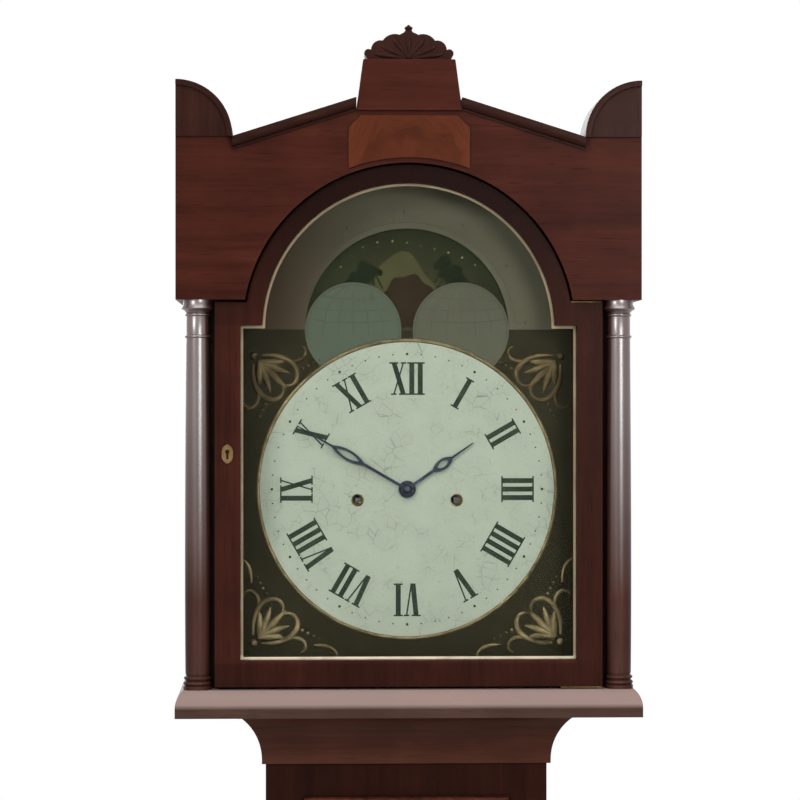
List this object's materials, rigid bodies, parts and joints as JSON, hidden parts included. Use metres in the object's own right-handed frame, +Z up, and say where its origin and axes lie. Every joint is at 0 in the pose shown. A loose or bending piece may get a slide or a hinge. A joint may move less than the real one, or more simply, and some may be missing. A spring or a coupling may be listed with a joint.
{
  "type": "tall case clock",
  "caption": "Weight-driven floor clock in a mahogany case: sliding hood with arched glazed door, columns and pediment, painted moon dial, trunk with door, base and pendulum.",
  "frame": {"origin": "on the floor under the middle of the case", "axes": "+Z up the case, -Y out of the dial, +X to the right seen from the front"},
  "size_m": [0.477, 0.272, 2.1993],
  "materials": {
    "mahogany": "french polished",
    "figured_veneer": "french polished",
    "pine": "raw, aged",
    "brass": "polished, lacquered",
    "gilt": "gilt",
    "glass": "clear",
    "dial_paint": "painted, crazed varnish",
    "moon_paint": "painted",
    "blued_steel": "blued",
    "steel": "bright",
    "bell_metal": "cast and turned",
    "iron": "cast",
    "gut": "twisted gut"
  },
  "bodies": {
    "case": {"plinth": "mahogany", "base_front": "mahogany", "base_sides": "mahogany", "base_floor": "pine", "waist_moulding": "mahogany", "trunk_sides": "mahogany", "trunk_front": "mahogany", "backboard": "pine", "throat_moulding": "mahogany", "seatboard": "pine", "hood_runners": "pine", "trunk_hinge_fixed": "brass", "dial_plate": "dial_paint", "movement_plates": "brass", "movement_pillars": "brass", "back_cock": "brass", "bell_stand": "steel", "bell": "bell_metal", "going_line": "gut", "strike_line": "gut"},
    "trunk_door": {"trunk_door": "mahogany", "trunk_hinge_moving": "brass", "trunk_escutcheon": "brass"},
    "hood": {"hood_base": "mahogany", "hood_sides": "mahogany", "hood_frieze": "mahogany", "hood_top": "mahogany", "pediment_mouldings": "mahogany", "ears": "mahogany", "cresting_block": "mahogany", "cresting_fan": "mahogany", "frieze_tablet": "figured_veneer", "dial_mask": "mahogany", "columns": "mahogany", "column_rings": "mahogany"},
    "hood_door": {"hood_door_frame": "mahogany", "hood_glass": "glass", "hood_door_bead": "gilt", "hood_door_straps": "brass", "hood_escutcheon": "brass"},
    "moon": {"moon_disc": "moon_paint"},
    "centre": {"centre_wheel": "brass", "minute_hand": "blued_steel"},
    "hours": {"hour_wheel": "brass", "hour_hand": "blued_steel"},
    "reverse": {"minute_wheel": "brass"},
    "great": {"going_great_wheel": "brass"},
    "third": {"third_wheel": "brass"},
    "escape": {"escape_wheel": "brass"},
    "pallets": {"pallets": "steel"},
    "pendulum": {"pendulum_rod": "steel", "pendulum_bob": "brass"},
    "going_barrel": {"going_barrel": "brass"},
    "strike_barrel": {"strike_barrel": "brass"},
    "going_weight": {"going_weight": "iron"},
    "strike_weight": {"strike_weight": "iron"},
    "going_pulley": {"going_pulley": "brass"},
    "strike_pulley": {"strike_pulley": "brass"},
    "hammer": {"hammer": "steel"}
  },
  "joints": [
    {"name": "hood_slide", "type": "slide", "parent": "case", "child": "hood", "axis": [0, -1, 0], "range_m": [0, 0.26]},
    {"name": "hood_door_swing", "type": "hinge", "parent": "hood", "child": "hood_door", "pos_m": [0.1954, -0.119, 1.5209], "axis": [0, 0, 1], "range_deg": [0, 90]},
    {"name": "trunk_door_swing", "type": "hinge", "parent": "case", "child": "trunk_door", "pos_m": [0.1114, -0.0539, 0.5825], "axis": [0, 0, 1], "range_deg": [0, 100]},
    {"name": "minute_turn", "type": "hinge", "parent": "case", "child": "centre", "pos_m": [0, -0.041, 1.7213], "axis": [0, 1, 0], "continuous": true},
    {"name": "hour_turn", "type": "hinge", "parent": "case", "child": "hours", "pos_m": [0, -0.041, 1.7213], "axis": [0, 1, 0], "continuous": true},
    {"name": "reverse_turn", "type": "hinge", "parent": "case", "child": "reverse", "pos_m": [-0.01909, -0.041, 1.74039], "axis": [0, 1, 0], "continuous": true},
    {"name": "great_turn", "type": "hinge", "parent": "case", "child": "great", "pos_m": [0.0515, -0.041, 1.7098], "axis": [0, 1, 0], "continuous": true},
    {"name": "third_turn", "type": "hinge", "parent": "case", "child": "third", "pos_m": [0.01293, -0.041, 1.74903], "axis": [0, 1, 0], "continuous": true},
    {"name": "escape_turn", "type": "hinge", "parent": "case", "child": "escape", "pos_m": [0, -0.041, 1.77066], "axis": [0, 1, 0], "continuous": true},
    {"name": "moon_turn", "type": "hinge", "parent": "case", "child": "moon", "pos_m": [0, -0.0674, 1.8783], "axis": [0, 1, 0], "continuous": true},
    {"name": "pendulum_swing", "type": "hinge", "parent": "case", "child": "pendulum", "pos_m": [0, 0.052, 1.79612], "axis": [0, 1, 0], "range_deg": [-2.5, 2.5]},
    {"name": "pallet_rock", "type": "hinge", "parent": "case", "child": "pallets", "pos_m": [0, -0.041, 1.79612], "axis": [0, 1, 0], "range_deg": [-2.5, 2.5]},
    {"name": "going_rise", "type": "slide", "parent": "case", "child": "going_weight", "axis": [0, 0, 1], "range_m": [0, 1], "deforming": ["going_line"]},
    {"name": "strike_rise", "type": "slide", "parent": "case", "child": "strike_weight", "axis": [0, 0, 1], "range_m": [0, 1], "deforming": ["strike_line"]},
    {"name": "going_wind", "type": "hinge", "parent": "case", "child": "going_barrel", "pos_m": [0.0515, -0.041, 1.7098], "axis": [0, 1, 0], "range_deg": [-5186, 0]},
    {"name": "strike_wind", "type": "hinge", "parent": "case", "child": "strike_barrel", "pos_m": [-0.0515, -0.041, 1.7098], "axis": [0, 1, 0], "range_deg": [0, 5186]},
    {"name": "going_pulley_roll", "type": "hinge", "parent": "going_weight", "child": "going_pulley", "pos_m": [0.0536, 0.002, 0.43], "axis": [0, 1, 0], "range_deg": [-2866, 0]},
    {"name": "strike_pulley_roll", "type": "hinge", "parent": "strike_weight", "child": "strike_pulley", "pos_m": [-0.0536, 0.002, 0.43], "axis": [0, 1, 0], "range_deg": [0, 2866]},
    {"name": "hammer_lift", "type": "hinge", "parent": "case", "child": "hammer", "pos_m": [-0.036, -0.01, 1.7803], "axis": [0, 1, 0], "range_deg": [-14, 0], "stiffness_Nm_per_rad": 0.1, "springref_deg": 17.19}
  ],
  "couplings": [
    {"joint": "hour_turn", "follows": "minute_turn", "ratio": 0.083333},
    {"joint": "reverse_turn", "follows": "minute_turn", "ratio": -1},
    {"joint": "great_turn", "follows": "minute_turn", "ratio": -0.083333},
    {"joint": "third_turn", "follows": "minute_turn", "ratio": -7.5},
    {"joint": "escape_turn", "follows": "minute_turn", "ratio": 60},
    {"joint": "pallet_rock", "follows": "pendulum_swing", "ratio": 1},
    {"joint": "going_wind", "follows": "going_rise", "rad_per_m": -90.498},
    {"joint": "strike_wind", "follows": "strike_rise", "rad_per_m": 90.498},
    {"joint": "going_pulley_roll", "follows": "going_rise", "rad_per_m": -50},
    {"joint": "strike_pulley_roll", "follows": "strike_rise", "rad_per_m": 50}
  ]
}
